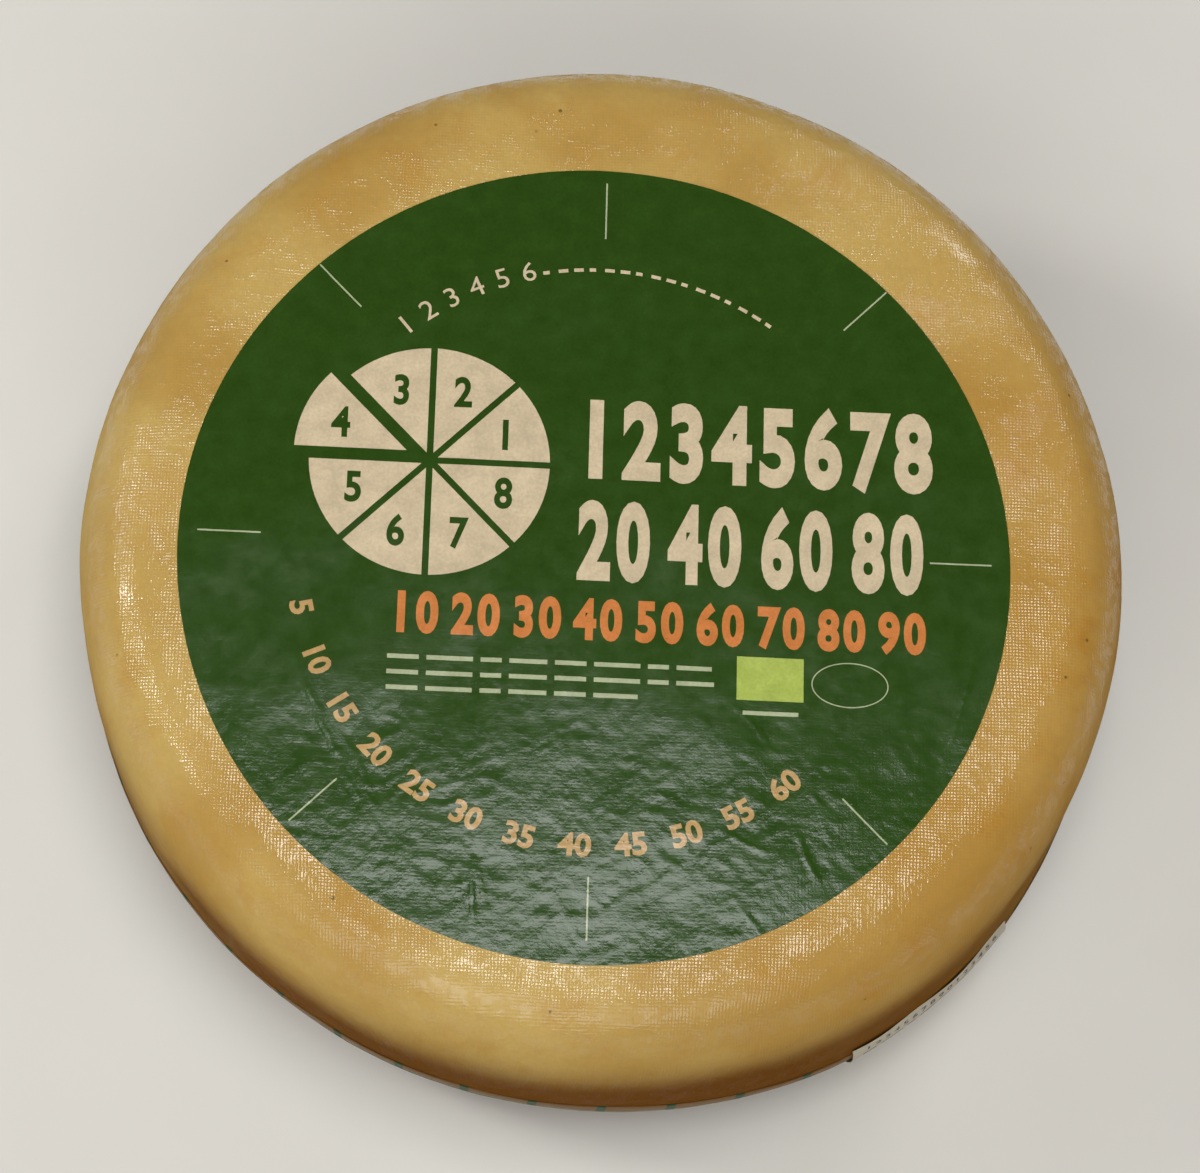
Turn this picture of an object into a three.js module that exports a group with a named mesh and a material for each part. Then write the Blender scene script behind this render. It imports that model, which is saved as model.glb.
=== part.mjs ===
// A whole gouda-type cheese wheel, lying flat on one of its two faces.
// Millimetres, +Z up. The origin is the centre of the face that it rests on.
// +Y is the way that the print on the top label reads upwards, and +X is to its right.
//
// The cheese is one solid: it was pressed in a round mould, brined and coated as one piece.
// Three paper pieces are stuck on it: a round label on the top face, a band round the lower
// half of the side, and a small sticker on the side, over the band.

import * as THREE from 'three';

// The wheel: two flat faces joined by a bulging side.
const WHEEL_DIAMETER = 260;
const WHEEL_HEIGHT = 94;
const FACE_DIAMETER = 212;
const SIDE_EXPONENT = 3;       // 2 is a round side, higher is squarer
const SIDE_STEPS = 18;
const ROUND_STEPS = 96;

// The paper pieces.
const PAPER = 0.3;             // thickness of each paper piece
const PASTE = 0.3;             // space between the side's curved paper and what is under it

const LABEL_DIAMETER = 200;
const LABEL_OFFSET = new THREE.Vector2(-3.6, -6.8);   // it was laid a little off the centre

const BAND_BOTTOM = 11;        // heights above the face that the wheel rests on
const BAND_TOP = 37;
const BAND_STEPS = 5;

const STICKER_WIDTH = 50;      // along the side
const STICKER_HEIGHT = 30;
const STICKER_CENTRE_ANGLE = 311;                     // degrees from +X, counter-clockwise
const STICKER_CENTRE_HEIGHT = 27;
const STICKER_TILT = 3;        // degrees
const STICKER_COLUMNS = 12;
const STICKER_ROWS = 10;

// Colours.
const RIND = '#c59a45';
const GREEN_PAPER = '#23501f';
const WHITE_PAPER = '#cfc9bb';

const degrees = (angle) => THREE.MathUtils.degToRad(angle);

// Radius of the wheel's side at a height: a superellipse between the two flat faces.
function sideRadius(height) {
  const bulge = (WHEEL_DIAMETER - FACE_DIAMETER) / 2;
  const share = Math.min(1, Math.abs((2 * height) / WHEEL_HEIGHT - 1));
  return FACE_DIAMETER / 2 + bulge * Math.pow(1 - Math.pow(share, SIDE_EXPONENT), 1 / SIDE_EXPONENT);
}

// A lathed geometry turns about Y, and this one about Z.
function turned(profile) {
  return new THREE.LatheGeometry(profile, ROUND_STEPS).rotateX(Math.PI / 2);
}

function named(name, geometry, colour, roughness) {
  const material = new THREE.MeshStandardMaterial({ color: colour, roughness, metalness: 0 });
  const mesh = new THREE.Mesh(geometry, material);
  mesh.name = name;
  return mesh;
}

// The side's points are spaced by the superellipse's own angle, so they crowd where it turns.
function cheeseWheel() {
  const bulge = (WHEEL_DIAMETER - FACE_DIAMETER) / 2;
  const profile = [new THREE.Vector2(0, 0)];
  for (let step = 0; step <= SIDE_STEPS; step += 1) {
    const angle = Math.PI * (step / SIDE_STEPS - 0.5);
    const out = Math.pow(Math.max(0, Math.cos(angle)), 2 / SIDE_EXPONENT);
    const up = Math.sign(Math.sin(angle)) * Math.pow(Math.abs(Math.sin(angle)), 2 / SIDE_EXPONENT);
    const radius = FACE_DIAMETER / 2 + (step === 0 || step === SIDE_STEPS ? 0 : bulge * out);
    profile.push(new THREE.Vector2(radius, (WHEEL_HEIGHT / 2) * (1 + up)));
  }
  profile.push(new THREE.Vector2(0, WHEEL_HEIGHT));
  return named('cheese_wheel', turned(profile), RIND, 0.35);
}

// The round paper label lies flat on the top face.
function topLabel() {
  const radius = LABEL_DIAMETER / 2;
  const profile = [
    new THREE.Vector2(0, 0),
    new THREE.Vector2(radius, 0),
    new THREE.Vector2(radius, PAPER),
    new THREE.Vector2(0, PAPER),
  ];
  const label = named('top_label', turned(profile), GREEN_PAPER, 0.5);
  label.position.set(LABEL_OFFSET.x, LABEL_OFFSET.y, WHEEL_HEIGHT);
  return label;
}

// The band is a ring whose section follows the side, inside face up and outside face down.
function sideBand() {
  const heights = [];
  for (let step = 0; step <= BAND_STEPS; step += 1) {
    heights.push(THREE.MathUtils.lerp(BAND_BOTTOM, BAND_TOP, step / BAND_STEPS));
  }
  const wall = (space) => heights.map((z) => new THREE.Vector2(sideRadius(z) + space, z));
  const outside = wall(PASTE + PAPER);
  const profile = [...outside, ...wall(PASTE).reverse(), outside[0].clone()];
  return named('side_band', turned(profile), GREEN_PAPER, 0.6);
}

// How far the sticker's inner face stands off the side: over the band it clears the band's
// outer face, and above the band it comes down to the rind over a short slope.
function stickerStandOff(height) {
  const slope = 4;
  const onBand = 1 - THREE.MathUtils.smoothstep(height, BAND_TOP + 1, BAND_TOP + 1 + slope);
  return PASTE + onBand * (PAPER + PASTE);
}

// A flat rectangle of paper, tilted, then bent round the side.
function sideSticker() {
  const geometry = new THREE.BoxGeometry(
    STICKER_WIDTH,
    STICKER_HEIGHT,
    PAPER,
    STICKER_COLUMNS,
    STICKER_ROWS,
    1,
  );
  geometry.rotateZ(degrees(STICKER_TILT));
  const point = new THREE.Vector3();
  const places = geometry.attributes.position;
  for (let index = 0; index < places.count; index += 1) {
    point.fromBufferAttribute(places, index);
    const height = STICKER_CENTRE_HEIGHT + point.y;
    const angle = degrees(STICKER_CENTRE_ANGLE) + point.x / (WHEEL_DIAMETER / 2);
    const radius = sideRadius(height) + stickerStandOff(height) + PAPER / 2 + point.z;
    places.setXYZ(index, radius * Math.cos(angle), radius * Math.sin(angle), height);
  }
  geometry.computeVertexNormals();
  return named('side_sticker', geometry, WHITE_PAPER, 0.6);
}

const group = new THREE.Group();
group.add(cheeseWheel(), topLabel(), sideBand(), sideSticker());

export default group;
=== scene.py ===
import math

import bpy
import numpy as np
from mathutils import Matrix, Vector
from mathutils.geometry import delaunay_2d_cdt
from mathutils.kdtree import KDTree


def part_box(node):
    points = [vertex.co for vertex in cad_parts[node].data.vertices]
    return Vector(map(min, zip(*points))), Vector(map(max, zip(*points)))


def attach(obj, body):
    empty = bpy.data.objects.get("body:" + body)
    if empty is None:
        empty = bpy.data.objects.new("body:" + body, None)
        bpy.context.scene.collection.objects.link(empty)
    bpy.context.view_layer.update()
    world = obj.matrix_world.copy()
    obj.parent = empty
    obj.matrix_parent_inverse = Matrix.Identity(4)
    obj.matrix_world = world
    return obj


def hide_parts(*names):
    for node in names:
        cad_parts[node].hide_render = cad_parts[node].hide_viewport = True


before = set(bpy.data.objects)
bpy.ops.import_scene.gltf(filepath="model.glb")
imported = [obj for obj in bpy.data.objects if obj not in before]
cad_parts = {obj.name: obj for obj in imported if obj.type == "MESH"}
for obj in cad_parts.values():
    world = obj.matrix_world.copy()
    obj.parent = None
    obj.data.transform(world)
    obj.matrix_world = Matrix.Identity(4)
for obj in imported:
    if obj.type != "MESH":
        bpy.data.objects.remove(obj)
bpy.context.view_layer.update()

MM = 0.001

# ---------------------------------------------------------------------------------------------
# The cheese wheel: curd pressed in a round mould, brined, then brushed with a thin clear-yellow
# plastic coat. The cloth that lined the mould printed its square weave into the curd, and the
# glossy coat lies in and over that print.
# ---------------------------------------------------------------------------------------------

wheel_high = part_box("cheese_wheel")[1]
WHEEL_RADIUS = wheel_high.x
WHEEL_HEIGHT = wheel_high.z
FACE_RADIUS = WHEEL_RADIUS - 24 * MM
SIDE_EXPONENT = 3              # 2 is a round side, higher is squarer
RIND_SINK = 0.35 * MM          # how far the uneven rind lies inside the plain turned shape
SAG = 3.8 * MM                 # how far the rind bulges out where it sagged
SAG_ANGLE = math.radians(306)
SAG_HEIGHT = 30 * MM
SAG_REACH = 19 * MM            # half its width up the side
ROUND_STEPS = 640              # points round the wheel
LABEL_COVERS = 90 * MM         # inside this radius the top face is always under the label
THREAD = 0.8 * MM              # spacing of the mould cloth's threads


def waves(places, wavelength, seed, count=24):
    """A smooth random height of about -1 to 1: the sum of sine waves of one wavelength, each along
    its own random direction with its own random phase, over the square root of their number."""
    rng = np.random.default_rng(seed)
    directions = rng.normal(size=(count, 3))
    directions /= np.linalg.norm(directions, axis=1, keepdims=True)
    phases = rng.uniform(0, math.tau, count)
    turns = places @ directions.T * (math.tau / wavelength) + phases
    return np.sin(turns).sum(axis=1) / math.sqrt(count)


def rind_offset(places):
    """How far the real rind stands out of the plain turned shape: slow swells, softer hollows and
    small dimples, each a set of waves of its own length, and one wide bell-shaped bulge low on the
    side, where the cheese sagged. The bottom is pressed flat on its board."""
    uneven = (
        -RIND_SINK
        + 0.24 * MM * waves(places, 95 * MM, 1)
        + 0.10 * MM * waves(places, 34 * MM, 2)
        + 0.025 * MM * waves(places, 12 * MM, 3)
    )
    towards = places[:, :2] @ np.array([math.cos(SAG_ANGLE), math.sin(SAG_ANGLE)])
    facing = np.clip(towards / np.maximum(np.hypot(places[:, 0], places[:, 1]), MM), 0, 1)
    sag = SAG * facing ** 5 * np.exp(-(((places[:, 2] - SAG_HEIGHT) / SAG_REACH) ** 2))
    pressed = np.clip(places[:, 2] / (8 * MM), 0.12, 1)
    return (uneven + sag) * pressed


def side_outline(steps):
    """Radius and height up the side at even distances: a superellipse between the two flat faces,
    which is drawn finely by its own angle and then read off at equal steps of its length."""
    angle = np.linspace(-math.pi / 2, math.pi / 2, 4001)
    bulge = WHEEL_RADIUS - FACE_RADIUS
    radius = FACE_RADIUS + bulge * np.clip(np.cos(angle), 0, 1) ** (2 / SIDE_EXPONENT)
    rise = np.sign(np.sin(angle)) * np.abs(np.sin(angle)) ** (2 / SIDE_EXPONENT)
    height = WHEEL_HEIGHT / 2 * (1 + rise)
    length = np.concatenate([[0], np.cumsum(np.hypot(np.diff(radius), np.diff(height)))])
    even = np.linspace(0, length[-1], steps)
    return np.interp(even, length, radius), np.interp(even, length, height)


def on_rind(angle, radius, height, lean, lift=0.0):
    """Points on the real rind at these angles round the axis: the plain turned point, moved along
    its own normal by the rind's offset and by lift. lean is the normal's angle above level."""
    plain = np.stack([radius * np.cos(angle), radius * np.sin(angle), height + 0 * angle], axis=-1)
    level = np.cos(lean)
    normal = np.stack([level * np.cos(angle), level * np.sin(angle), np.sin(lean) + 0 * angle], axis=-1)
    flat = plain.reshape(-1, 3)
    out = rind_offset(flat).reshape(plain.shape[:-1]) + lift
    return plain + normal * out[..., None]


def build(name, places, faces):
    """A smooth-shaded mesh object at the origin from points and faces."""
    mesh = bpy.data.meshes.new(name)
    mesh.from_pydata(places, [], faces)
    mesh.shade_smooth()
    piece = bpy.data.objects.new(name, mesh)
    bpy.context.scene.collection.objects.link(piece)
    return piece


def grid_faces(rows, columns, round_rows=False):
    """Four-cornered faces between neighbours of a grid of points, numbered row by row. Each row
    closes on itself, and with round_rows the last row joins the first."""
    row = np.arange(rows if round_rows else rows - 1)
    low, left = np.meshgrid(row, np.arange(columns), indexing="ij")
    high, right = (low + 1) % rows, (left + 1) % columns
    low, high = low * columns, high * columns
    corners = [low + left, low + right, high + right, high + left]
    return np.stack(corners, axis=-1).reshape(-1, 4).tolist()


def unwrap(piece, flat):
    """Gives the piece a UV map: one place on the map for each face corner."""
    layer = piece.data.uv_layers.new(name="OFBake")
    layer.uv.foreach_set("vector", flat.astype(np.float32).ravel())


def corner_vertices(piece):
    """The number of the vertex at each face corner, in the order of the corners."""
    found = np.zeros(len(piece.data.loops), np.int32)
    piece.data.loops.foreach_get("vertex_index", found)
    return found


def cheese_wheel():
    """Rings of points from the middle of the bottom face out, up the side and in to the middle of
    the top face, which the label covers, so its rings are wide apart there."""
    side_radius, side_height = side_outline(92)
    bottom = np.linspace(4 * MM, FACE_RADIUS, 26, endpoint=False)
    rim = np.linspace(FACE_RADIUS, LABEL_COVERS, 13)[1:]
    covered = np.linspace(LABEL_COVERS, 6 * MM, 12)[1:]
    top = np.concatenate([rim, covered])
    radius = np.concatenate([bottom, side_radius, top])
    height = np.concatenate([0 * bottom, side_height, WHEEL_HEIGHT + 0 * top])
    lean = np.arctan2(-np.gradient(radius), np.gradient(height))
    lean[: len(bottom)] = -math.pi / 2
    lean[len(bottom) + len(side_radius):] = math.pi / 2
    angle = np.arange(ROUND_STEPS) * (math.tau / ROUND_STEPS)
    angles = angle[None, :] + 0 * radius[:, None]
    rings = on_rind(angles, radius[:, None], height[:, None], lean[:, None])
    pole_height, pole_lean = np.array([0, WHEEL_HEIGHT]), np.array([-1, 1]) * math.pi / 2
    poles = on_rind(np.zeros(2), np.zeros(2), pole_height, pole_lean)
    places = np.concatenate([rings.reshape(-1, 3), poles])
    count = len(radius)
    ring = np.arange(ROUND_STEPS)
    after = (ring + 1) % ROUND_STEPS
    first_pole, last_pole = count * ROUND_STEPS, count * ROUND_STEPS + 1
    last = (count - 1) * ROUND_STEPS
    bottom_fan = np.stack([0 * ring + first_pole, after, ring], axis=-1).tolist()
    top_fan = np.stack([0 * ring + last_pole, last + ring, last + after], axis=-1).tolist()
    piece = build("cheese_rind", places, grid_faces(count, ROUND_STEPS) + bottom_fan + top_fan)
    share = np.concatenate([np.repeat(np.linspace(0.01, 0.99, count), ROUND_STEPS), [0, 1]])
    turn = np.concatenate([np.tile(ring / ROUND_STEPS, count), [0, 0]])
    corner = corner_vertices(piece)
    across = turn[corner]
    counts = np.zeros(len(piece.data.polygons), np.int32)
    piece.data.polygons.foreach_get("loop_total", counts)
    face = np.repeat(np.arange(len(counts)), counts)
    widest = np.zeros(len(counts))
    np.maximum.at(widest, face, across)
    across = np.where((across == 0) & (widest[face] > 0.5), 1.0, across)
    unwrap(piece, np.stack([across, share[corner]], axis=-1))
    return piece


def linear(code):
    """A colour written as a hex code in sRGB, as the linear numbers that a shader takes."""
    parts = [int(code[place:place + 2], 16) / 255 for place in (1, 3, 5)]
    return [(p / 12.92 if p <= 0.04045 else ((p + 0.055) / 1.055) ** 2.4) for p in parts] + [1]


def add(tree, kind, sockets=None, **settings):
    """Adds one shader node. settings are its own fields. sockets sets or links its inputs, counted
    or named among those in use. A node given as a value stands for its first output in use."""
    node = tree.nodes.new("ShaderNode" + kind)
    for field, value in settings.items():
        setattr(node, field, value)
    used = [socket for socket in node.inputs if socket.enabled]
    for key, value in (sockets or {}).items():
        socket = used[key] if isinstance(key, int) else next(s for s in used if s.name == key)
        if isinstance(value, bpy.types.Node):
            value = next(output for output in value.outputs if output.enabled)
        if isinstance(value, bpy.types.NodeSocket):
            tree.links.new(value, socket)
        else:
            socket.default_value = value
    return node


def new_material(name):
    """An empty node material, its tree and its Principled shader, already joined to the output."""
    material = bpy.data.materials.new(name)
    material.use_nodes = True
    tree = material.node_tree
    tree.nodes.clear()
    shader = add(tree, "BsdfPrincipled")
    add(tree, "OutputMaterial", {"Surface": shader})
    return material, tree, shader


def put(tree, shader, **values):
    """Sets or links the shader's own sockets, which are named here with _ for a space."""
    for name, value in values.items():
        socket = shader.inputs[name.replace("_", " ")]
        if isinstance(value, bpy.types.Node):
            value = next(output for output in value.outputs if output.enabled)
        if isinstance(value, bpy.types.NodeSocket):
            tree.links.new(value, socket)
        else:
            socket.default_value = value


def cloth_print(tree, place, wander):
    """The height, 0 to 1, that the mould cloth left: a little pillow of curd in each opening and a
    groove under each thread. A pillow is the mean of two half sine waves. It runs square
    across both faces, and up and round the side, where a turn holds a whole number of threads."""
    moved = add(tree, "VectorMath", {0: place, 1: wander}, operation="ADD")
    xyz = add(tree, "SeparateXYZ", {0: moved})
    pillows = []
    threads_round = round(math.tau * WHEEL_RADIUS / THREAD)
    turn = add(tree, "Math", {0: xyz.outputs[1], 1: xyz.outputs[0]}, operation="ARCTAN2")
    pairs = [
        ((xyz.outputs[0], math.pi / THREAD), (xyz.outputs[1], math.pi / THREAD)),
        ((turn, threads_round / 2), (xyz.outputs[2], math.pi / THREAD)),
    ]
    for pair in pairs:
        halves = []
        for value, rate in pair:
            phase = add(tree, "Math", {0: value, 1: rate}, operation="MULTIPLY")
            wave = add(tree, "Math", {0: phase}, operation="SINE")
            halves.append(add(tree, "Math", {0: wave}, operation="ABSOLUTE"))
        both = add(tree, "Math", {0: halves[0], 1: halves[1]}, operation="ADD")
        pillows.append(add(tree, "Math", {0: both, 1: 0.5}, operation="MULTIPLY"))
    above_middle = add(tree, "Math", {0: xyz.outputs[2], 1: WHEEL_HEIGHT / 2}, operation="SUBTRACT")
    from_middle = add(tree, "Math", {0: above_middle}, operation="ABSOLUTE")
    on_face = add(
        tree,
        "MapRange",
        {0: from_middle, 1: WHEEL_HEIGHT * 0.36, 2: WHEEL_HEIGHT * 0.42, 3: 0.0, 4: 1.0},
        interpolation_type="SMOOTHSTEP",
    )
    return add(tree, "Mix", {0: on_face, 1: pillows[1], 2: pillows[0]}, data_type="FLOAT")


RIND_PALE_GOLD = "#c2a45f"
RIND_DEEP_GOLD = "#b38f4a"
RIND_AMBER_AND_SHADE = "#b07e2e"
RIND_GRAIN = "#a47a38"
# dark amber of the painted shade low on the side
PAINTED_LOW_SHADE = "#643a0b"
RIND_SPECK = "#5d4322"
CLOUD_SIZE = 46 * MM
BLOTCH_SIZE = 15 * MM
GRAIN_SIZE = 1.3 * MM
DIMPLE_SIZE = 3.2 * MM
SPECK_SPACING = 9 * MM
PRINT_WANDER = 1.6 * MM        # how far the print's threads run out of true
CURD_RELIEF = 0.035 * MM
COAT_RELIEF = 0.10 * MM
DULL_BELOW = 79 * MM           # the coat is glossy on top, and scuffed dull below this height


def coated_rind_material():
    """Brushed plastic cheese coat over golden curd. The colour is cloudy gold, more amber and darker
    towards +X, partly as painted shade, and dark amber low down on the side, weak all round and most
    towards -Y, which is painted shade, with a few dark specks. The gloss breaks into glints on the
    cloth print and on small dimples. It is rubbed thin in places, and dull round the side."""
    material, tree, shader = new_material("coated_gouda_rind")
    place = add(tree, "TexCoord").outputs["Object"]
    clouds = add(
        tree, "TexNoise", {"Vector": place, "Scale": 1 / CLOUD_SIZE, "Detail": 3.0, "Roughness": 0.5}
    )
    blotches = add(
        tree, "TexNoise", {"Vector": place, "Scale": 1 / BLOTCH_SIZE, "Detail": 4.0, "Roughness": 0.55}
    )
    grain = add(
        tree, "TexNoise", {"Vector": place, "Scale": 1 / GRAIN_SIZE, "Detail": 2.0, "Roughness": 0.6}
    )
    dimples = add(
        tree, "TexNoise", {"Vector": place, "Scale": 1 / DIMPLE_SIZE, "Detail": 2.0, "Roughness": 0.5}
    )
    cloudiness = add(
        tree, "MapRange", {0: clouds, 1: 0.35, 2: 0.65, 3: 0.0, 4: 1.0}, interpolation_type="SMOOTHSTEP"
    )
    golds = {0: cloudiness, 1: linear(RIND_PALE_GOLD), 2: linear(RIND_DEEP_GOLD)}
    gold = add(tree, "Mix", golds, data_type="RGBA")
    # Painted shade, in part: the rind turns more amber and darker towards +X. The amber blotches mixed in
    # with it are the rind's own tone.
    side = add(tree, "VectorMath", {0: place, 1: (0.98, -0.15, -0.1)}, operation="DOT_PRODUCT")
    side_shade_part = add(tree, "MapRange", {0: side.outputs["Value"], 1: 0.03, 2: 0.13, 3: 0.0, 4: 0.7})
    amber_part = add(
        tree, "MapRange", {0: blotches, 1: 0.48, 2: 0.75, 3: 0.0, 4: 0.4}, interpolation_type="SMOOTHSTEP"
    )
    amber_and_side_shade = add(tree, "Math", {0: side_shade_part, 1: amber_part}, operation="ADD", use_clamp=True)
    ambered_and_shaded = add(tree, "Mix", {0: amber_and_side_shade, 1: gold, 2: linear(RIND_AMBER_AND_SHADE)}, data_type="RGBA")
    grain_part = add(tree, "MapRange", {0: grain, 1: 0.3, 2: 0.8, 3: 0.0, 4: 0.2})
    grained = add(tree, "Mix", {0: grain_part, 1: ambered_and_shaded, 2: linear(RIND_GRAIN)}, data_type="RGBA")
    height_up = add(tree, "SeparateXYZ", {0: place}).outputs[2]
    # Painted shade: the side turns darker, down to dark amber, towards its bottom, weakly all round and
    # most towards -Y.
    low_shade_part = add(
        tree,
        "MapRange",
        {0: height_up, 1: 80 * MM, 2: 50 * MM, 3: 0.0, 4: 1.0},
        interpolation_type="SMOOTHSTEP",
    )
    front = add(tree, "VectorMath", {0: place, 1: (-0.1, -1.0, 0.0)}, operation="DOT_PRODUCT")
    frontness = {0: clouds, 1: 90 * MM, 2: front.outputs["Value"]}
    ragged = add(tree, "Math", frontness, operation="MULTIPLY_ADD")
    front_shade_part = add(
        tree,
        "MapRange",
        {0: ragged, 1: 60 * MM, 2: 165 * MM, 3: 0.35, 4: 0.95},
        interpolation_type="SMOOTHSTEP",
    )
    painted_shade_part = add(tree, "Math", {0: low_shade_part, 1: front_shade_part}, operation="MULTIPLY")
    low_shaded = add(tree, "Mix", {0: painted_shade_part, 1: grained, 2: linear(PAINTED_LOW_SHADE)}, data_type="RGBA")
    specks = add(tree, "TexVoronoi", {"Vector": place, "Scale": 1 / SPECK_SPACING}, feature="F1")
    speck_part = add(
        tree, "MapRange", {0: specks, 1: 0.04, 2: 0.07, 3: 0.75, 4: 0.0}, interpolation_type="SMOOTHSTEP"
    )
    speck_where = add(tree, "MapRange", {0: blotches, 1: 0.5, 2: 0.58, 3: 0.0, 4: 1.0})
    speckle = add(tree, "Math", {0: speck_part, 1: speck_where}, operation="MULTIPLY")
    specked = add(tree, "Mix", {0: speckle, 1: low_shaded, 2: linear(RIND_SPECK)}, data_type="RGBA")

    drift = add(tree, "TexNoise", {"Vector": place, "Scale": 1 / (18 * MM), "Detail": 2.0})
    middle = {0: drift.outputs["Color"], 1: (0.5, 0.5, 0.5)}
    centred = add(tree, "VectorMath", middle, operation="SUBTRACT")
    wander = add(tree, "VectorMath", {0: centred, "Scale": PRINT_WANDER}, operation="SCALE")
    weave = cloth_print(tree, place, wander)
    print_depth = add(tree, "MapRange", {0: blotches, 1: 0.35, 2: 0.65, 3: 0.35, 4: 1.2})
    printed = add(tree, "Math", {0: weave, 1: print_depth}, operation="MULTIPLY")
    dimpled = add(tree, "Math", {0: dimples, 1: 2.2, 2: printed}, operation="MULTIPLY_ADD")
    height = add(tree, "Math", {0: grain, 1: 0.9, 2: dimpled}, operation="MULTIPLY_ADD")
    curd_relief = add(tree, "Bump", {"Strength": 1.0, "Distance": CURD_RELIEF, "Height": height})
    coat_relief = add(tree, "Bump", {"Strength": 1.0, "Distance": COAT_RELIEF, "Height": height})
    shine = add(
        tree,
        "MapRange",
        {0: height_up, 1: 90 * MM, 2: DULL_BELOW, 3: 1.0, 4: 0.08},
        interpolation_type="SMOOTHSTEP",
    )
    rubbed = add(tree, "MapRange", {0: dimples, 1: 0.42, 2: 0.56, 3: 0.35, 4: 1.0})
    coat_left = add(tree, "Math", {0: shine, 1: rubbed}, operation="MULTIPLY")
    roughness = add(tree, "MapRange", {0: blotches, 1: 0.3, 2: 0.7, 3: 0.4, 4: 0.5})
    put(
        tree,
        shader,
        Base_Color=specked,
        Roughness=roughness,
        Normal=curd_relief,
        Specular_IOR_Level=0.0,
        Coat_Weight=coat_left,
        Coat_Roughness=0.05,
        Coat_IOR=1.55,
        Coat_Normal=coat_relief,
        Subsurface_Weight=0.12,
        Subsurface_Radius=(1.0, 0.5, 0.18),
        Subsurface_Scale=2.5 * MM,
    )
    return material


rind = cheese_wheel()
rind.data.materials.append(coated_rind_material())
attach(rind, "root")
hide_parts("cheese_wheel")

# ---------------------------------------------------------------------------------------------
# The top label: a round of beige paper printed all over in dark green with a thin varnish. The
# print leaves the beige paper bare for its marks. It was pasted on wet, so it crinkled as it
# dried, and it is pasted a little off the wheel's middle.
# ---------------------------------------------------------------------------------------------

label_low, label_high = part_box("top_label")
LABEL_RADIUS_MM = (label_high.x - label_low.x) / 2 / MM
LABEL_CENTRE = np.array([(label_low.x + label_high.x) / 2, (label_low.y + label_high.y) / 2])
LABEL_SPACING_MM = 0.8
RIM_STEP_MM = 0.12
PAPER_LIFT = 0.2 * MM          # the paper's top above the rind
PAPER_FOOT = -0.15 * MM        # its underside, which is bedded in the paste and the soft coat

GREEN_INK = linear("#2a4610")
BARE_PAPER = linear("#cbb999")
TAN_INK = linear("#b89560")
ORANGE_INK = linear("#c87a3e")
LIME_INK = linear("#a6b654")
PALE_INK = linear("#a9b08c")


def box_shape(left, bottom, right, top):
    """A plain rectangle as points and one face."""
    return np.array([[left, bottom], [right, bottom], [right, top], [left, top]]), [[0, 1, 2, 3]]


def ring_shape(middle, radii, line, steps=72):
    """A thin oval line: two ovals a line's width apart, joined by four-cornered faces."""
    angle = np.arange(steps) * (math.tau / steps)
    circle = np.stack([np.cos(angle), np.sin(angle)], axis=-1)
    radii = np.array(radii, float)
    outer, inner = middle + circle * (radii + line / 2), middle + circle * (radii - line / 2)
    return np.concatenate([outer, inner]), grid_faces(2, steps)


def sector_shape(middle, radius, start, stop, gap, steps=14):
    """A slice of a round, its sides drawn in by half a gap so that the slices stand apart."""
    half = math.radians((start + stop) / 2)
    out = np.array([math.cos(half), math.sin(half)])
    tip = middle + gap / 2 / math.sin(math.radians(stop - start) / 2) * out
    inset = math.asin(gap / 2 / radius)
    angle = np.linspace(math.radians(start) + inset, math.radians(stop) - inset, steps)
    arc = middle + radius * np.stack([np.cos(angle), np.sin(angle)], axis=-1)
    return np.concatenate([[tip], arc]), [list(range(steps + 1))]


def turned_shape(shape, angle, middle):
    """The shape turned by an angle in radians about the origin and then set down at middle."""
    points, faces = shape
    turn = np.array([[math.cos(angle), -math.sin(angle)], [math.sin(angle), math.cos(angle)]])
    return points @ turn.T + np.array(middle), faces


def number_shape(text, height, width, bold):
    """One plain number as filled faces, made from the built-in font, whose bare nought is 0.44 wide
    and 0.70 high: scaled so that a nought has this height and width, and set down with its middle
    over the origin and its foot on it."""
    curve = bpy.data.curves.new("number", "FONT")
    curve.body = text
    curve.align_x = "CENTER"
    curve.resolution_u = 5 if height > 6 else 3
    curve.offset = bold
    holder = bpy.data.objects.new("number", curve)
    mesh = bpy.data.meshes.new_from_object(holder)
    points = np.zeros(len(mesh.vertices) * 3)
    mesh.vertices.foreach_get("co", points)
    points = points.reshape(-1, 3)[:, :2] + [0, bold]
    faces = np.zeros(len(mesh.polygons) * 3, np.int32)
    mesh.polygons.foreach_get("vertices", faces)
    faces = faces.reshape(-1, 3)
    first, second = points[faces[:, 1]] - points[faces[:, 0]], points[faces[:, 2]] - points[faces[:, 0]]
    faces = faces[first[:, 0] * second[:, 1] - first[:, 1] * second[:, 0] > 1e-7].tolist()
    bpy.data.objects.remove(holder)
    bpy.data.meshes.remove(mesh)
    bpy.data.curves.remove(curve)
    return points * [width / (0.44 + 2 * bold), height / (0.70 + 2 * bold)], faces


def number_row(numbers, left, right, baseline, height, bold):
    """Plain numbers in a line from left to right, each digit in its own even space, with a narrow
    gap between the numbers."""
    unit = (right - left) / (len("".join(numbers)) + 0.35 * (len(numbers) - 1))
    shapes, start = [], left
    for number in numbers:
        for digit in number:
            shape = number_shape(digit, height, unit * 0.86, bold)
            shapes.append(turned_shape(shape, 0, (start + unit / 2, baseline)))
            start += unit
        start += unit * 0.35
    return shapes


def arc_numbers(numbers, radius, start, stop, height, width, bold):
    """Plain numbers round part of a circle, tops towards its middle, at even steps of angle."""
    shapes = []
    for number, angle in zip(numbers, np.radians(np.linspace(start, stop, len(numbers)))):
        shape = number_shape(number, height, width, bold)
        middle = radius * np.array([math.cos(angle), math.sin(angle)])
        shapes.append(turned_shape(shape, angle + math.pi / 2, middle))
    return shapes


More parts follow.
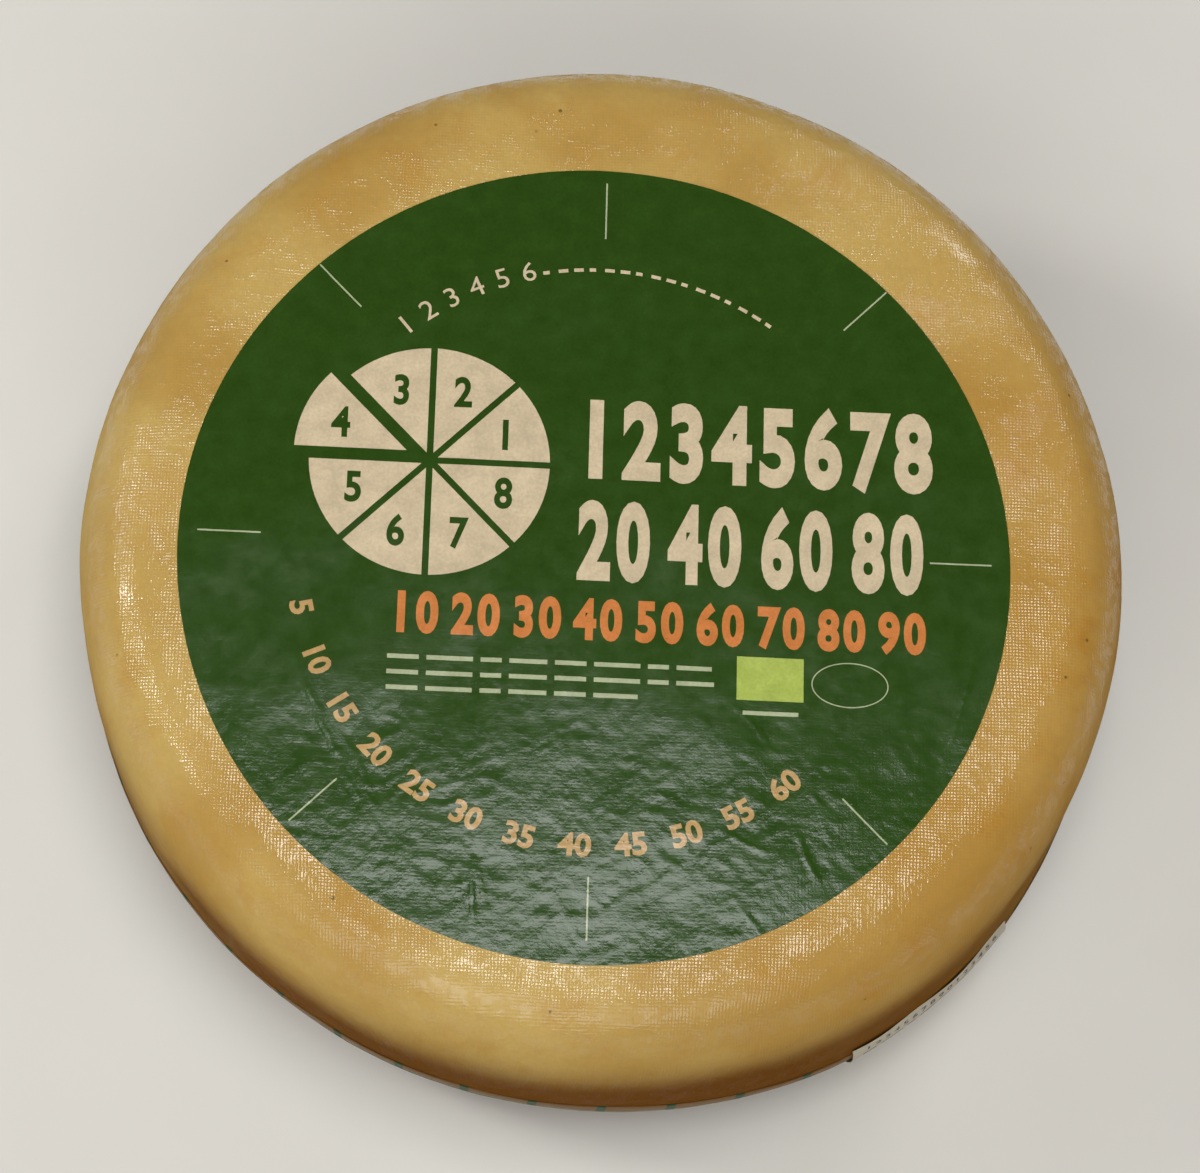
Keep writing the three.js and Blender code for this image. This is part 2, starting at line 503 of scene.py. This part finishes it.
def label_print():
    """The label's marks as (ink, shapes): eight cutting lines, a round in eight slices with plain
    numbers, plain number scales, short rules, a plain lime block and an empty oval."""
    marks = []
    for eighth in range(8):
        angle = math.radians(45 * eighth)
        outer = 98.9 if eighth % 2 else 95.4
        line = box_shape(outer - 15, -0.2, outer, 0.2)
        marks.append((PALE_INK, turned_shape(line, angle, (0, 1.2))))

    dial_middle, dial_radius = np.array([-41.0, 21.5]), 29.0
    for slice_number in range(8):
        start = 45 * slice_number
        middle_angle = math.radians(start + 22.5)
        out = np.array([math.cos(middle_angle), math.sin(middle_angle)])
        pulled = dial_middle + (out * 4 if slice_number == 3 else 0)
        marks.append((BARE_PAPER, sector_shape(pulled, dial_radius, start, start + 45, 1.6)))
        number = number_shape(str(slice_number + 1), 8.0, 4.4, 0.03)
        marks.append((GREEN_INK, turned_shape(number, 0, pulled + out * 19.5 - [0, 4.0])))

    rows = [
        (BARE_PAPER, "12345678", -6.5, 82.0, 18.7, 20.9, 0.045),
        (BARE_PAPER, "20 40 60 80", -5.5, 79.5, -7.1, 20.6, 0.045),
        (ORANGE_INK, "10 20 30 40 50 60 70 80 90", -49.3, 79.8, -22.0, 10.6, 0.045),
    ]
    for ink, numbers, left, right, baseline, height, bold in rows:
        for shape in number_row(numbers.split(), left, right, baseline, height, bold):
            marks.append((ink, shape))

    for baseline, right in ((-28.4, 28), (-32.2, 29.5), (-36.0, 10.5)):
        left, step = -49.0, 0
        while left < right:
            end = min(right, left + (7.5, 11.0, 5.0, 9.0)[step % 4])
            marks.append((PALE_INK, box_shape(left, baseline, end, baseline + 1.1)))
            left, step = end + 1.8, step + 1
    marks.append((LIME_INK, box_shape(34.0, -35.0, 50.0, -24.3)))
    marks.append((PALE_INK, box_shape(35.5, -38.6, 48.8, -37.6)))
    marks.append((PALE_INK, ring_shape(np.array([61.1, -30.3]), (9.1, 5.45), 0.28)))

    scale_numbers = [str(number) for number in range(5, 65, 5)]
    for shape in arc_numbers(scale_numbers, 74.5, -166.5, -50.5, 5.7, 3.9, 0.035):
        marks.append((TAN_INK, shape))
    for count in range(6):
        angle = math.radians(130.6 - 5.2 * count)
        shape = number_shape(str(count + 1), 5.0, 3.4, 0.0)
        place = 71.8 * np.array([math.cos(angle), math.sin(angle)])
        marks.append((BARE_PAPER, turned_shape(shape, angle - math.pi / 2, place)))
    for count in range(16):
        angle = math.radians(101 - 3.0 * count)
        dash = box_shape(-1.2, -0.45, 1.2 if count % 3 else 0.4, 0.45)
        place = 73.2 * np.array([math.cos(angle), math.sin(angle)])
        marks.append((BARE_PAPER, turned_shape(dash, angle - math.pi / 2, place)))
    return marks


def outline(shape, step):
    """The edges of a flat shape that only one of its faces uses, cut into pieces no longer than a
    step. Returns the points and the pieces."""
    points, faces = shape
    sides = {(face[k - 1], face[k]) for face in faces for k in range(len(face))}
    found, pieces = [], []
    for first, last in sorted(sides):
        if (last, first) in sides:
            continue
        count = max(1, math.ceil(math.dist(points[first], points[last]) / step))
        start = len(found)
        found += list(np.linspace(points[first], points[last], count + 1))
        pieces += [(start + k, start + k + 1) for k in range(count)]
    return np.array(found), pieces


def filled(rim, spacing, marks=()):
    """Fills a flat outline with triangles: points on a slightly shaken honeycomb grid, kept clear of
    the rim, of a second rim just inside it and of the outlines of the marks, which become edges.
    Returns the points, the triangles and where the rim's points are among them, in order."""
    rng = np.random.default_rng(7)
    low, high = rim.min(axis=0), rim.max(axis=0)
    across = np.arange(low[0], high[0], spacing)
    up = np.arange(low[1], high[1], spacing * math.sqrt(0.75))
    x, y = np.meshgrid(across, up)
    x = x + spacing / 2 * (np.arange(len(up)) % 2)[:, None]
    inner = np.stack([x.ravel(), y.ravel()], axis=-1)
    inner += rng.uniform(-0.12, 0.12, inner.shape) * spacing
    along = np.roll(rim, -1, axis=0) - rim
    along /= np.linalg.norm(along, axis=1, keepdims=True)
    depth = np.full(len(inner), np.inf)
    for point, way in zip(rim, along):
        to_point = inner - point
        depth = np.minimum(depth, way[0] * to_point[:, 1] - way[1] * to_point[:, 0])
    inner = inner[depth > spacing * 0.6]
    outlines = [outline(shape, spacing * 0.9) for _, shape in marks]
    tree = KDTree(len(inner))
    for index, point in enumerate(inner):
        tree.insert((point[0], point[1], 0), index)
    tree.balance()
    keep = np.ones(len(inner), bool)
    for found, _ in outlines:
        for point in found:
            for _, index, _ in tree.find_range((point[0], point[1], 0), spacing * 0.4):
                keep[index] = False
    second_rim = rim * (1 - 2 * RIM_STEP_MM / np.ptp(rim, axis=0))
    points = [rim, second_rim, inner[keep]]
    count = sum(len(part) for part in points)
    pieces = []
    for found, parts in outlines:
        points.append(found)
        pieces += [(first + count, last + count) for first, last in parts]
        count += len(found)
    vectors = [Vector(point) for point in np.concatenate(points)]
    made = delaunay_2d_cdt(vectors, pieces, [], 0, 1e-5)
    order = {original: place for place, originals in enumerate(made[3]) for original in originals}
    flat = np.array([tuple(point) for point in made[0]])
    return flat, np.array(made[2]), np.array([order[index] for index in range(len(rim))])


def mark_at(places, marks):
    """Which mark covers each flat place, or -1: the last one with a face that has the place on the
    inner side of all its edges."""
    found = np.full(len(places), -1)
    for index, (_, (points, faces)) in enumerate(marks):
        in_box = (places >= points.min(axis=0)) & (places <= points.max(axis=0))
        near = np.flatnonzero(in_box.all(axis=1))
        for face in faces:
            inside = np.ones(len(near), bool)
            for corner in range(len(face)):
                start = points[face[corner - 1]]
                side = points[face[corner]] - start
                to_place = places[near] - start
                inside &= side[0] * to_place[:, 1] - side[1] * to_place[:, 0] >= 0
            found[near[inside]] = index
    return found


def paper_piece(name, rim, spacing, marks, ground, edge, put_down):
    """A closed sheet of paper: a printed top with its marks cut in as faces, a plain underside on
    a coarser grid, and the cut edge between them. put_down turns flat points in millimetres into
    places, for the top or for the underside. Each corner's ink is kept as a colour."""
    top, top_faces, top_rim = filled(rim, spacing, marks)
    under, under_faces, under_rim = filled(rim, spacing * 6)
    start = len(top)
    places = np.concatenate([put_down(top, True), put_down(under, False)])
    next_top, next_under = np.roll(top_rim, -1), np.roll(under_rim, -1) + start
    wall = np.stack([top_rim, under_rim + start, next_under, next_top], axis=-1)
    faces = top_faces.tolist() + (under_faces[:, ::-1] + start).tolist() + wall.tolist()
    piece = build(name, places, faces)
    inks = np.array([ground] + [ink for ink, _ in marks])
    mark_of = mark_at(top[top_faces].mean(axis=1), marks)
    top_ink = np.repeat(inks[mark_of + 1], 3, axis=0)
    other = np.tile(np.array(edge), (len(under_faces) * 3 + len(wall) * 4, 1))
    colours = piece.data.color_attributes.new("ink", "FLOAT_COLOR", "CORNER")
    colours.data.foreach_set("color", np.concatenate([top_ink, other]).astype(np.float32).ravel())
    size = np.ptp(rim, axis=0).max()
    on_map = (np.concatenate([top, under]) - rim.min(axis=0)) / size * 0.8 + 0.01
    on_map[start:] = (under - rim.min(axis=0)) / size * 0.17 + 0.82
    unwrap(piece, on_map[corner_vertices(piece)])
    return piece


# Each crease's middle, angle in degrees, length, half width, height and bend, in millimetres
CREASES = [
    ((-61, -50), -62, 40, 0.35, 0.13, 3),
    ((-59.6, -50), -60, 34, 0.30, 0.10, 2),
    ((-53, -57), -66, 16, 0.35, 0.09, -2),
    ((-27, -83), -86, 17, 0.40, 0.20, 1),
    ((-25, -82), -76, 13, 0.35, 0.12, 0),
    ((-29.5, -81), 80, 12, 0.35, 0.10, 0),
    ((-27, -47), -88, 52, 0.30, 0.07, 2),
    ((37, -70), -24, 12, 0.40, 0.12, 1),
    ((51, -73), -66, 13, 0.45, 0.12, 1),
    ((38, -88), -50, 10, 0.40, 0.10, 0),
    ((88, -34), 74, 27, 0.40, 0.11, 2),
    ((39, -42), -50, 16, 0.35, 0.06, -3),
]


def crease(x, y, middle, angle, length, width, height, bend):
    """One crease: a ridge along a slightly bent line, bell-shaped across and fading at its ends."""
    turn = math.radians(angle)
    along = (x - middle[0]) * math.cos(turn) + (y - middle[1]) * math.sin(turn)
    across = (y - middle[1]) * math.cos(turn) - (x - middle[0]) * math.sin(turn)
    across = across - bend * (along / length) ** 2
    return height * np.exp(-((across / width) ** 2)) * np.exp(-((2 * along / length) ** 4))


def label_rise(flat):
    """The paper's crinkles above the rind, in metres, at flat points in millimetres: two sizes of
    crumple with sharp crests where a set of waves crosses zero, softer cockles, and a few long
    thin creases. The crumple is strongest over the lower part, where the paper dried last."""
    x, y = flat[:, 0], flat[:, 1]
    ground = np.stack([x, y, 0 * x], axis=-1)
    patches = waves(ground, 45.0, 10)
    lower = 0.15 + 0.85 / (1 + np.exp((y + 44 + 9 * patches) / 9))
    shifts = [waves(ground, 17.0, 11), waves(ground, 17.0, 12), 0 * x]
    wandering = ground + 1.2 * np.stack(shifts, axis=-1)
    crumple = 0.02 - 0.04 * np.abs(waves(wandering * [0.8, 1, 1], 7.0, 13))
    fine = 0.014 - 0.028 * np.abs(waves(wandering * [0.85, 1, 1], 3.2, 14))
    cockles = 0.03 * waves(ground, 18.0, 15)
    rise = lower * (crumple + fine) + cockles
    for middle, angle, length, width, height, bend in CREASES:
        rise += crease(x, y, middle, angle, length, width, height, bend)
    edge = np.clip((np.hypot(x, y) - 92) / 8, 0, 1) ** 2
    rise += edge * (0.05 + 0.05 * waves(ground, 24.0, 16))
    return np.maximum(rise, -0.14) * MM


def on_top_face(flat, printed):
    """Sets flat label points down on the wheel's top face, which is uneven under the paper."""
    x = flat[:, 0] * MM + LABEL_CENTRE[0]
    y = flat[:, 1] * MM + LABEL_CENTRE[1]
    plain = np.stack([x, y, 0 * x + WHEEL_HEIGHT], axis=-1)
    over_side = np.clip(np.hypot(x, y) - FACE_RADIUS, 0, None) / (WHEEL_RADIUS - FACE_RADIUS)
    drop = WHEEL_HEIGHT / 2 * (1 - (1 - over_side ** SIDE_EXPONENT) ** (1 / SIDE_EXPONENT))
    ground = plain[:, 2] - drop + rind_offset(plain)
    plain[:, 2] = ground + (PAPER_LIFT + label_rise(flat) if printed else PAPER_FOOT)
    return plain


def label_paper_material():
    """Varnished print on crinkled paper: the ink's own colour, a little uneven, a soft shine, and
    the fine crumple and cloth print that show through paper. The crumple is strongest at the foot
    of the label, where it dried last, and breaks the shine into small flashes."""
    material, tree, shader = new_material("varnished_label_paper")
    place = add(tree, "TexCoord").outputs["Object"]
    ink = add(tree, "Attribute", attribute_name="ink").outputs["Color"]
    mottle = add(
        tree, "TexNoise", {"Vector": place, "Scale": 1 / (5 * MM), "Detail": 5.0, "Roughness": 0.65}
    )
    fibre = add(tree, "TexNoise", {"Vector": place, "Scale": 1 / (0.7 * MM), "Detail": 2.0})
    shade = add(tree, "MapRange", {0: mottle, 1: 0.3, 2: 0.7, 3: 0.86, 4: 1.1})
    fibre_shade = add(tree, "MapRange", {0: fibre, 1: 0.3, 2: 0.7, 3: 0.93, 4: 1.07})
    both = add(tree, "Math", {0: shade, 1: fibre_shade}, operation="MULTIPLY")
    tinted = add(tree, "VectorMath", {0: ink, "Scale": both}, operation="SCALE")
    still = add(tree, "CombineXYZ")
    weave = cloth_print(tree, place, still)
    crumple = add(
        tree, "TexNoise", {"Vector": place, "Scale": 1 / (1.9 * MM), "Detail": 3.0, "Roughness": 0.6}
    )
    height = add(tree, "Math", {0: weave, 1: 0.10, 2: crumple}, operation="MULTIPLY_ADD")
    up = add(tree, "SeparateXYZ", {0: place}).outputs[1]
    dried_last = add(
        tree,
        "MapRange",
        {0: up, 1: -78 * MM, 2: -30 * MM, 3: 1.0, 4: 0.35},
        interpolation_type="SMOOTHSTEP",
    )
    crumpled = add(tree, "Math", {0: height, 1: dried_last}, operation="MULTIPLY")
    bump = add(tree, "Bump", {"Strength": 1.0, "Distance": 0.07 * MM, "Height": crumpled})
    roughness = add(tree, "MapRange", {0: mottle, 1: 0.3, 2: 0.7, 3: 0.13, 4: 0.21})
    put(tree, shader, Base_Color=tinted, Roughness=roughness, Normal=bump)
    put(tree, shader, IOR=1.48, Specular_IOR_Level=0.31)
    return material


label_turns = np.arange(900) * (math.tau / 900)
label_rim = (LABEL_RADIUS_MM - 0.05) * np.stack([np.cos(label_turns), np.sin(label_turns)], axis=-1)
label = paper_piece(
    "round_label", label_rim, LABEL_SPACING_MM, label_print(), GREEN_INK, BARE_PAPER, on_top_face
)
label.data.materials.append(label_paper_material())
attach(label, "root")
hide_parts("top_label")

# ---------------------------------------------------------------------------------------------
# The side band: a strip of thin paper pasted round the lower half of the side. It is printed
# dark green, with a thin pale line under a brown margin that carries short cutting marks. The
# margin's brown is made darker as painted shade.
# ---------------------------------------------------------------------------------------------

band_low, band_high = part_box("side_band")
BAND_LIFT = 0.25 * MM
BAND_MARKS = 48
BAND_MARK_WIDTH = 2.2 * MM
BAND_MARGIN = 7 * MM           # margin above the pale line
BAND_LINE = 0.8 * MM
BAND_STEPS = 600               # points round the wheel
BAND_GREEN = "#1f4018"
BAND_LINE_INK = "#b8a680"
# the margin's brown is darkened as painted shade
BAND_MARGIN_INK_AND_SHADE = "#6e4c1c"


def side_points(angle, height, lift):
    """Points on the real side at these angles and heights, lifted off it: the height is looked up
    along the side's outline for its radius and for the way it faces."""
    outline_radius, outline_height = side_outline(400)
    outline_lean = np.arctan2(-np.gradient(outline_radius), np.gradient(outline_height))
    radius = np.interp(height, outline_height, outline_radius)
    lean = np.interp(height, outline_height, outline_lean)
    return on_rind(angle, radius, height, lean, lift)


def paper_band():
    """A closed strip: rows of points up its outside and down its inside, all round the wheel. Its
    two edges stand a little looser than its middle."""
    rows = np.linspace(band_low.z, band_high.z, 20)
    heights = np.concatenate([rows, rows[::-1]])
    angle = np.arange(BAND_STEPS) * (math.tau / BAND_STEPS)
    height = heights[:, None] + 0 * angle[None, :]
    swell = waves(np.stack([np.cos(angle), np.sin(angle), 0 * angle], axis=-1), 0.21, 41)
    edge = np.clip(np.abs(height - rows.mean()) / (rows[-1] - rows[0]) * 2, 0, 1) ** 6
    outside = (np.arange(len(heights)) < len(rows))[:, None]
    loose = edge * np.clip(0.07 + 0.05 * swell, 0.0, 0.2) * MM
    lift = np.where(outside, BAND_LIFT, -0.05 * MM) + loose
    places = side_points(angle[None, :] + 0 * height, height, lift)
    faces = grid_faces(len(heights), BAND_STEPS, round_rows=True)
    piece = build("paper_band", places.reshape(-1, 3), faces)
    corner = corner_vertices(piece).reshape(-1, 4)
    column, row = corner % BAND_STEPS / BAND_STEPS, corner // BAND_STEPS / len(heights)
    on_map = []
    for share in (column, row):
        past_seam = (share == 0) & (share.max(axis=1, keepdims=True) > 0.5)
        on_map.append(np.where(past_seam, 1.0, share))
    unwrap(piece, np.stack(on_map, axis=-1).reshape(-1, 2))
    return piece


def band_paper_material():
    """Uncoated printed paper, so matt: dark green below, a pale line, and a brown margin, darkened
    as painted shade, crossed by dark green marks at even steps round the wheel."""
    material, tree, shader = new_material("printed_band_paper")
    place = add(tree, "TexCoord").outputs["Object"]
    xyz = add(tree, "SeparateXYZ", {0: place})
    turn = add(tree, "Math", {0: xyz.outputs[1], 1: xyz.outputs[0]}, operation="ARCTAN2")
    steps = add(tree, "Math", {0: turn, 1: BAND_MARKS / math.tau, 2: 0.8}, operation="MULTIPLY_ADD")
    within = add(tree, "Math", {0: steps}, operation="FRACT")
    share = BAND_MARK_WIDTH / (math.tau * band_high.x / BAND_MARKS)
    marked = add(tree, "Math", {0: within, 1: share}, operation="LESS_THAN")
    line_top = band_high.z - BAND_MARGIN
    in_margin = add(tree, "Math", {0: xyz.outputs[2], 1: line_top}, operation="GREATER_THAN")
    line_foot = line_top - BAND_LINE
    over_line = add(tree, "Math", {0: xyz.outputs[2], 1: line_foot}, operation="GREATER_THAN")
    green_and_line = {0: over_line, 1: linear(BAND_GREEN), 2: linear(BAND_LINE_INK)}
    lined = add(tree, "Mix", green_and_line, data_type="RGBA")
    margined = add(tree, "Mix", {0: in_margin, 1: lined, 2: linear(BAND_MARGIN_INK_AND_SHADE)}, data_type="RGBA")
    on_mark = add(tree, "Math", {0: marked, 1: over_line}, operation="MULTIPLY")
    all_inks = add(tree, "Mix", {0: on_mark, 1: margined, 2: linear(BAND_GREEN)}, data_type="RGBA")
    mottle = add(tree, "TexNoise", {"Vector": place, "Scale": 1 / (3 * MM), "Detail": 5.0})
    shade = add(tree, "MapRange", {0: mottle, 1: 0.3, 2: 0.7, 3: 0.85, 4: 1.1})
    tinted = add(tree, "VectorMath", {0: all_inks, "Scale": shade}, operation="SCALE")
    bump = add(tree, "Bump", {"Strength": 1.0, "Distance": 0.08 * MM, "Height": mottle})
    roughness = add(tree, "MapRange", {0: mottle, 1: 0.3, 2: 0.7, 3: 0.6, 4: 0.75})
    put(tree, shader, Base_Color=tinted, Roughness=roughness, Normal=bump, IOR=1.48)
    return material


band = paper_band()
band.data.materials.append(band_paper_material())
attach(band, "root")
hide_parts("side_band")

# ---------------------------------------------------------------------------------------------
# The side sticker: a small off-white thermal-printed paper, stuck on by hand over the band. Its
# edges stand off a little where the side curves away under it.
# ---------------------------------------------------------------------------------------------

STICKER_WIDTH_MM = 50.0
STICKER_HEIGHT_MM = 30.0
STICKER_CENTRE_ANGLE = math.radians(311)
STICKER_CENTRE_HEIGHT = 27 * MM
STICKER_TILT = math.radians(3)
STICKER_INK = linear("#35342f")
# the paper's colour is yellowed and also greyed darker as painted shade
STICKER_PAPER_AND_SHADE = linear("#b9af9b")


def sticker_print():
    """Plain rows: numbers along the top, then rows of short rules."""
    marks = []
    digits = "1234567890123456"
    for count, digit in enumerate(digits):
        shape = number_shape(digit, 2.6, 1.7, 0.03)
        marks.append((STICKER_INK, turned_shape(shape, 0, (-20.5 + count * 2.75, 10.4))))
    for row in range(6):
        left, step = -22.0, row
        right = (22.0, 19.0, 21.0, 12.0, 20.0, 15.0)[row]
        while left < right:
            end = min(right, left + (4.0, 6.5, 2.5, 5.0)[step % 4])
            bottom = 7.0 - 3.3 * row
            marks.append((STICKER_INK, box_shape(left, bottom, end, bottom + 1.2)))
            left, step = end + 1.3, step + 1
    return marks


def on_side(flat, printed):
    """Tilts flat sticker points and bends them round the side, over the band's upper edge, with
    the edges standing a little off."""
    turn = np.array(
        [
            [math.cos(STICKER_TILT), -math.sin(STICKER_TILT)],
            [math.sin(STICKER_TILT), math.cos(STICKER_TILT)],
        ]
    )
    tilted = flat @ turn.T * MM
    angle = STICKER_CENTRE_ANGLE + tilted[:, 0] / WHEEL_RADIUS
    height = STICKER_CENTRE_HEIGHT + tilted[:, 1]
    from_edge = np.minimum(
        STICKER_WIDTH_MM / 2 - np.abs(flat[:, 0]), STICKER_HEIGHT_MM / 2 - np.abs(flat[:, 1])
    )
    loose = np.exp(-from_edge / 2.5) * (0.35 + 0.25 * np.sin(flat[:, 0] / 4.1))
    over_band = 1 / (1 + np.exp((height - band_high.z - 2.5 * MM) / (0.8 * MM)))
    lift = over_band * (BAND_LIFT + 0.3 * MM) + loose * MM + (0.2 if printed else -0.05) * MM
    return side_points(angle, height, lift)


def sticker_paper_material():
    """Plain uncoated white paper gone a little yellow, and greyed darker as painted shade, with dark
    thermal print.
    """
    material, tree, shader = new_material("thermal_sticker_paper")
    place = add(tree, "TexCoord").outputs["Object"]
    ink = add(tree, "Attribute", attribute_name="ink").outputs["Color"]
    mottle = add(tree, "TexNoise", {"Vector": place, "Scale": 1 / (2.5 * MM), "Detail": 5.0})
    shade = add(tree, "MapRange", {0: mottle, 1: 0.3, 2: 0.7, 3: 0.9, 4: 1.06})
    tinted = add(tree, "VectorMath", {0: ink, "Scale": shade}, operation="SCALE")
    bump = add(tree, "Bump", {"Strength": 1.0, "Distance": 0.06 * MM, "Height": mottle})
    roughness = add(tree, "MapRange", {0: mottle, 1: 0.3, 2: 0.7, 3: 0.5, 4: 0.65})
    put(tree, shader, Base_Color=tinted, Roughness=roughness, Normal=bump, IOR=1.48)
    return material


def rectangle_rim(width, height, step):
    """The outline of a rectangle about the origin, counter-clockwise, in even steps."""
    across, up = int(width / step), int(height / step)
    x, y = width / 2, height / 2
    sides = [
        np.linspace([-x, -y], [x, -y], across, endpoint=False),
        np.linspace([x, -y], [x, y], up, endpoint=False),
        np.linspace([x, y], [-x, y], across, endpoint=False),
        np.linspace([-x, y], [-x, -y], up, endpoint=False),
    ]
    return np.concatenate(sides)


sticker = paper_piece(
    "side_sticker_paper",
    rectangle_rim(STICKER_WIDTH_MM, STICKER_HEIGHT_MM, 0.8),
    0.9,
    sticker_print(),
    STICKER_PAPER_AND_SHADE,
    STICKER_PAPER_AND_SHADE,
    on_side,
)
sticker.data.materials.append(sticker_paper_material())
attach(sticker, "root")
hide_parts("side_sticker")

# ---------------------------------------------------------------------------------------------
# The studio: a plain pale floor that runs out of view, soft lamps, and the camera, which looks
# down on the labelled face from a little below the label's middle.
# ---------------------------------------------------------------------------------------------

FLOOR_SIZE = 16.0
AIM = Vector((-2.7 * MM, -15.3 * MM, WHEEL_HEIGHT))
CAMERA_DISTANCE = 0.764
CAMERA_AZIMUTH = math.radians(-10.39)
CAMERA_ELEVATION = math.radians(72.11)
CAMERA_ROLL = math.radians(12.45)
CAMERA_LENS = 96


def plain_floor():
    """A flat pale floor under the wheel."""
    half = FLOOR_SIZE / 2
    corners = np.array([[-half, -half, 0], [half, -half, 0], [half, half, 0], [-half, half, 0]])
    floor = build("floor", corners, [[0, 1, 2, 3]])
    material, tree, shader = new_material("matt_floor_paint")
    place = add(tree, "TexCoord").outputs["Object"]
    mottle = add(tree, "TexNoise", {"Vector": place, "Scale": 30.0, "Detail": 4.0})
    colour = add(tree, "Mix", {0: mottle, 1: linear("#dedbd4"), 2: linear("#d9d6cf")}, data_type="RGBA")
    put(tree, shader, Base_Color=colour, Roughness=0.9)
    floor.data.materials.append(material)
    return floor


def soft_lamp(name, place, aim, size, power):
    """A flat rectangular white lamp at a place, facing a point."""
    light = bpy.data.lights.new(name, "AREA")
    light.shape = "RECTANGLE"
    light.size, light.size_y = size
    light.energy = power
    lamp = bpy.data.objects.new(name, light)
    lamp.location = place
    lamp.rotation_mode = "QUATERNION"
    lamp.rotation_quaternion = (Vector(place) - Vector(aim)).to_track_quat("Z", "Y")
    bpy.context.scene.collection.objects.link(lamp)


def studio_camera():
    """The camera stands off its aim by a distance at an azimuth and elevation, and is rolled."""
    level, rise = math.cos(CAMERA_ELEVATION), math.sin(CAMERA_ELEVATION)
    back = Vector((level * math.sin(CAMERA_AZIMUTH), -level * math.cos(CAMERA_AZIMUTH), rise))
    camera = bpy.data.objects.new("camera", bpy.data.cameras.new("camera"))
    camera.data.lens = CAMERA_LENS
    camera.data.sensor_width = 36
    camera.data.clip_start = 0.05
    camera.location = AIM + back * CAMERA_DISTANCE
    turn = back.to_track_quat("Z", "Y").to_matrix() @ Matrix.Rotation(CAMERA_ROLL, 3, "Z")
    camera.rotation_mode = "QUATERNION"
    camera.rotation_quaternion = turn.to_quaternion()
    bpy.context.scene.collection.objects.link(camera)
    bpy.context.scene.camera = camera


plain_floor()
soft_lamp("overhead_lamp", (0.03, -0.05, 1.5), (0.03, -0.05, 0), (0.48, 0.54), 9)
soft_lamp("left_lamp", (-0.98, 0.16, 0.8), (0, 0, 0.05), (0.22, 0.34), 4.0)
soft_lamp("right_lamp", (0.62, 0.85, 0.78), (0, 0, 0.05), (0.3, 0.3), 2.2)
soft_lamp("front_lamp", (-0.25, -1.6, 1.35), (0, 0, 0.05), (2.2, 1.4), 21)
studio_camera()

world = bpy.data.worlds.new("studio_air")
world.use_nodes = True
air = world.node_tree
way = add(air, "TexCoord").outputs["Generated"]
towards_front = add(air, "VectorMath", {0: way, 1: (-0.1, -0.6, 0.79)}, operation="DOT_PRODUCT")
glow = add(air, "MapRange", {0: towards_front.outputs["Value"], 1: 0.5, 2: 1.0, 3: 0.06, 4: 0.3})
background = air.nodes["Background"]
background.inputs["Color"].default_value = linear("#f4f2ee")
air.links.new(glow.outputs[0], background.inputs["Strength"])
bpy.context.scene.world = world
bpy.context.scene.view_settings.view_transform = "Standard"

bpy.context.view_layer.update()
